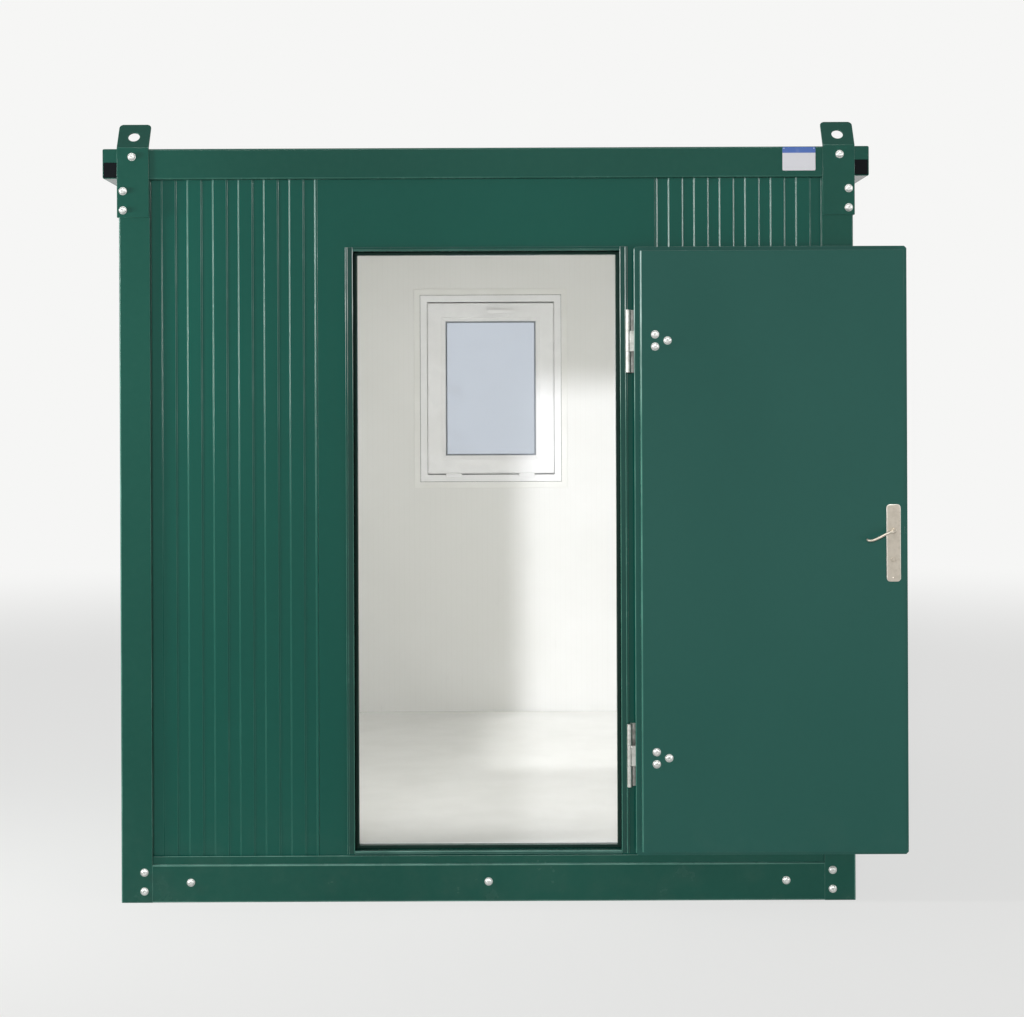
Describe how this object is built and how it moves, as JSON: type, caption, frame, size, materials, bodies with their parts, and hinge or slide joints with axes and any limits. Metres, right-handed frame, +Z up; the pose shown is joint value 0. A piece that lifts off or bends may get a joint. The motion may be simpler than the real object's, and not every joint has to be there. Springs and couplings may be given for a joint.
{
  "type": "portable site cabin",
  "caption": "Green portable site cabin: steel frame with corner lifting brackets, ribbed insulated walls, pale interior, an outward hinged door and a small back window.",
  "frame": {"origin": "on the ground under the middle of the cabin, on the underside of the middle floor joist", "axes": "+Z up; +X to the right for someone facing the door wall; the door wall is on the -Y side"},
  "size_m": [2.6753, 3.147, 2.6036],
  "materials": {
    "frame_paint": "gloss moss green paint",
    "wall_panel": "gloss moss green coil coating outside, off-white inside",
    "door_paint": "gloss moss green paint",
    "door_frame_paint": "gloss moss green paint",
    "rubber_seal": "matt black",
    "black_plastic": "matt black",
    "roof_steel": "galvanised grey",
    "ceiling_lining": "satin off-white",
    "floor_board": "coated board, grey steel tray below",
    "floor_vinyl": "pale mottled sheet vinyl",
    "zinc_bolt": "bright zinc",
    "zinc_hinge": "bright zinc",
    "satin_steel": "warm satin",
    "white_pvc": "white satin",
    "window_glass": "clear double glazing"
  },
  "bodies": {
    "cabin": {"back_panel_left": "wall_panel", "back_panel_right": "wall_panel", "back_panel_window": "wall_panel", "base_rail_back": "frame_paint", "base_rail_front": "frame_paint", "base_rail_left": "frame_paint", "base_rail_right": "frame_paint", "ceiling_panel": "ceiling_lining", "door_head": "door_frame_paint", "door_jambs": "door_frame_paint", "door_seal": "rubber_seal", "door_surround_left": "wall_panel", "door_surround_right": "wall_panel", "door_surround_top": "wall_panel", "door_threshold": "door_frame_paint", "floor_covering": "floor_vinyl", "floor_deck": "floor_board", "floor_joists": "frame_paint", "frame_bolts": "zinc_bolt", "front_panel_left": "wall_panel", "front_panel_right": "wall_panel", "gutter_plugs": "black_plastic", "lifting_brackets_back": "frame_paint", "lifting_brackets_front": "frame_paint", "post_back_left": "frame_paint", "post_back_right": "frame_paint", "post_front_left": "frame_paint", "post_front_right": "frame_paint", "roof_rail_back": "frame_paint", "roof_rail_front": "frame_paint", "roof_rail_left": "frame_paint", "roof_rail_right": "frame_paint", "roof_sheet": "roof_steel", "side_panels_left": "wall_panel", "side_panels_right": "wall_panel", "wall_hinges": "zinc_hinge", "window_frame": "white_pvc", "window_glass": "window_glass", "window_handle": "white_pvc", "window_sash": "white_pvc"},
    "door": {"door_leaf": "door_paint", "door_hinges": "zinc_hinge", "handle_plates": "satin_steel", "lock_faceplate": "satin_steel"},
    "lever": {"door_lever": "satin_steel"}
  },
  "joints": [
    {"name": "door_swing", "type": "hinge", "parent": "cabin", "child": "door", "pos_m": [0.472, -1.517, 1.177], "axis": [0, 0, -1], "range_deg": [0, 180]},
    {"name": "lever_turn", "type": "hinge", "parent": "door", "child": "lever", "pos_m": [1.342, -1.547, 1.236], "axis": [0, -1, 0], "range_deg": [0, 40], "stiffness_Nm_per_rad": 1.5, "springref_deg": -17.19}
  ]
}
